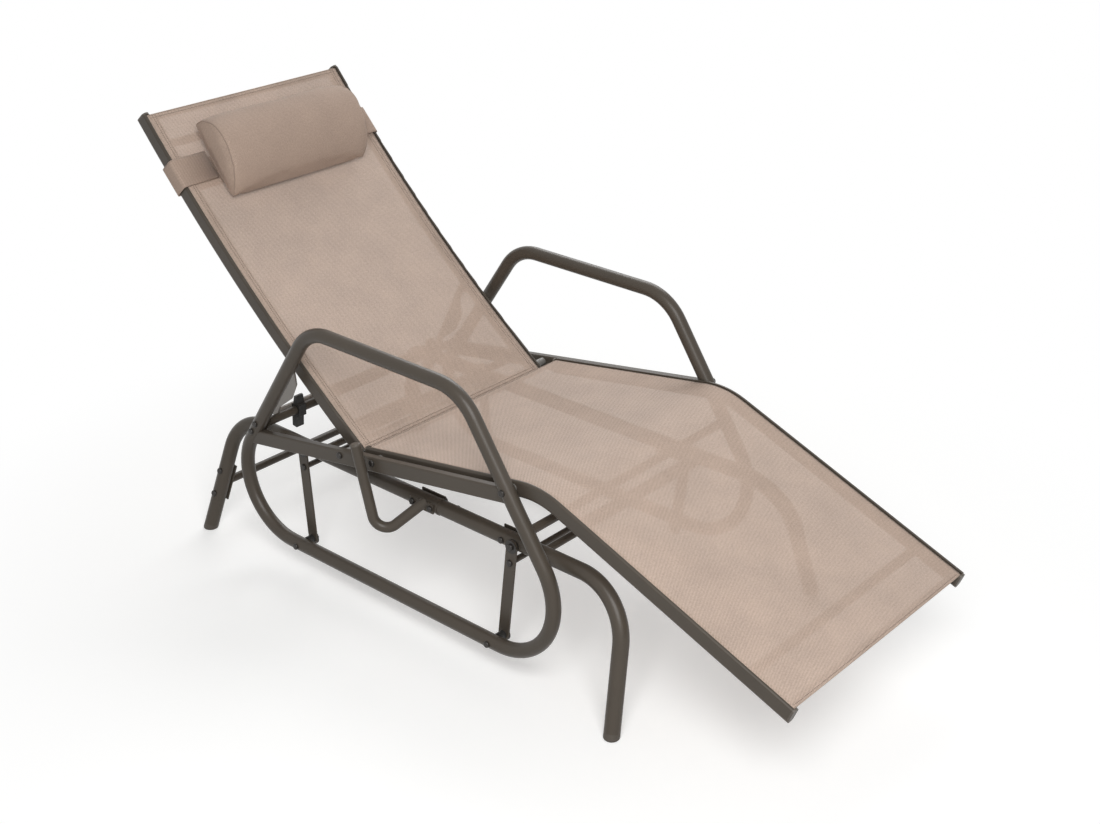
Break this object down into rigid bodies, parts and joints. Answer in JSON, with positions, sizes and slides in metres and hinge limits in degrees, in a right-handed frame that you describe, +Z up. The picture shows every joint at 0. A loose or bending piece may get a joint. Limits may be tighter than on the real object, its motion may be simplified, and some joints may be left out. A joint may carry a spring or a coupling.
{
  "type": "gliding sun lounger",
  "caption": "Gliding reclining sun lounger: mesh slings on a bent-tube frame with arm loops, hung by links from a splayed-leg base, with a sliding head bolster.",
  "frame": {"origin": "middle of the footprint of the whole lounger, on the floor under the feet", "axes": "+X across to the lounger's left side, +Y along the lounger from foot end to head end, +Z up; the side post stands on the -X side"},
  "size_m": [0.696, 1.7288, 0.914],
  "materials": {
    "frame_paint": "satin taupe-bronze powder coat",
    "stay_steel": "satin light grey-brown powder coat",
    "bolt_steel": "dark zinc-plated steel",
    "spacer_plastic": "matt grey nylon",
    "black_plastic": "matt black moulded plastic",
    "plug_plastic": "matt dark taupe moulded plug",
    "foot_plastic": "matt dark taupe moulded foot plug",
    "sling_mesh": "open-weave beige PVC-coated polyester mesh",
    "pillow_mesh": "beige mesh cover over soft fill",
    "band_elastic": "flat elastic webbing"
  },
  "bodies": {
    "base": {"base_rear_tube_right": "frame_paint", "base_rear_tube_left": "frame_paint", "base_front_tube_right": "frame_paint", "base_front_tube_left": "frame_paint", "base_insert_right": "frame_paint", "base_insert_left": "frame_paint", "joint_collars": "frame_paint", "foot_caps": "foot_plastic", "base_front_tie": "frame_paint", "base_rear_tie": "frame_paint", "base_leg_crossbar": "frame_paint", "front_pivot_plates": "frame_paint", "side_post": "frame_paint", "post_flange": "frame_paint", "post_inner_plate": "frame_paint", "post_cap": "plug_plastic", "upper_pivot_bolts": "bolt_steel", "upper_pivot_washers": "bolt_steel", "base_bolts": "bolt_steel"},
    "front_links": {"front_link_right": "frame_paint", "front_link_left": "frame_paint", "front_link_rod": "frame_paint", "front_link_screws": "bolt_steel"},
    "rear_links": {"rear_link_right": "frame_paint", "rear_link_left": "frame_paint", "rear_link_rod": "frame_paint", "rear_link_screws": "bolt_steel"},
    "glider_frame": {"side_loop_right": "frame_paint", "side_loop_left": "frame_paint", "side_rail_right": "frame_paint", "side_rail_left": "frame_paint", "frame_rear_crossbar": "frame_paint", "frame_front_crossbar": "frame_paint", "stay_latch_right": "black_plastic", "stay_latch_left": "black_plastic", "seat_rail_right": "frame_paint", "seat_rail_left": "frame_paint", "seat_sling": "sling_mesh", "seat_foot_bar": "frame_paint", "seat_end_plugs": "plug_plastic", "lower_pivot_bolts": "bolt_steel", "lower_pivot_bushes": "black_plastic", "hinge_bolts": "bolt_steel", "rail_spacers": "spacer_plastic", "frame_bolts": "bolt_steel"},
    "backrest": {"back_rail_right": "frame_paint", "back_rail_left": "frame_paint", "back_sling": "sling_mesh", "back_lower_bar": "frame_paint", "back_upper_bar": "frame_paint", "back_end_plugs": "plug_plastic", "stay_lug_right": "frame_paint", "stay_lug_left": "frame_paint", "stay_pins": "bolt_steel"},
    "stay": {"back_stay": "stay_steel"},
    "headrest": {"headrest_pillow": "pillow_mesh", "headrest_band": "band_elastic"}
  },
  "joints": [
    {"name": "glide", "type": "hinge", "parent": "base", "child": "front_links", "pos_m": [0, -0.20904, 0.268], "axis": [1, 0, 0], "range_deg": [-12, 12]},
    {"name": "frame_hang", "type": "hinge", "parent": "front_links", "child": "glider_frame", "pos_m": [0, -0.18504, 0.06], "axis": [1, 0, 0], "range_deg": [-13.2, 13.2]},
    {"name": "rear_link_swing", "type": "hinge", "parent": "base", "child": "rear_links", "pos_m": [0, 0.39096, 0.268], "axis": [1, 0, 0], "range_deg": [-13.2, 13.2]},
    {"name": "back_recline", "type": "hinge", "parent": "glider_frame", "child": "backrest", "pos_m": [0, 0.22296, 0.331], "axis": [-1, 0, 0], "range_deg": [0, 34]},
    {"name": "stay_fold", "type": "hinge", "parent": "backrest", "child": "stay", "pos_m": [0, 0.42696, 0.46943], "axis": [1, 0, 0], "range_deg": [0, 96.2]},
    {"name": "headrest_slide", "type": "slide", "parent": "backrest", "child": "headrest", "axis": [0, 0.6974, 0.7167], "range_m": [-0.12, 0.02]}
  ],
  "couplings": [
    {"joint": "frame_hang", "follows": "glide", "ratio": -1.0676},
    {"joint": "rear_link_swing", "follows": "glide", "ratio": 1},
    {"joint": "stay_fold", "follows": "back_recline", "ratio": 2.8}
  ]
}
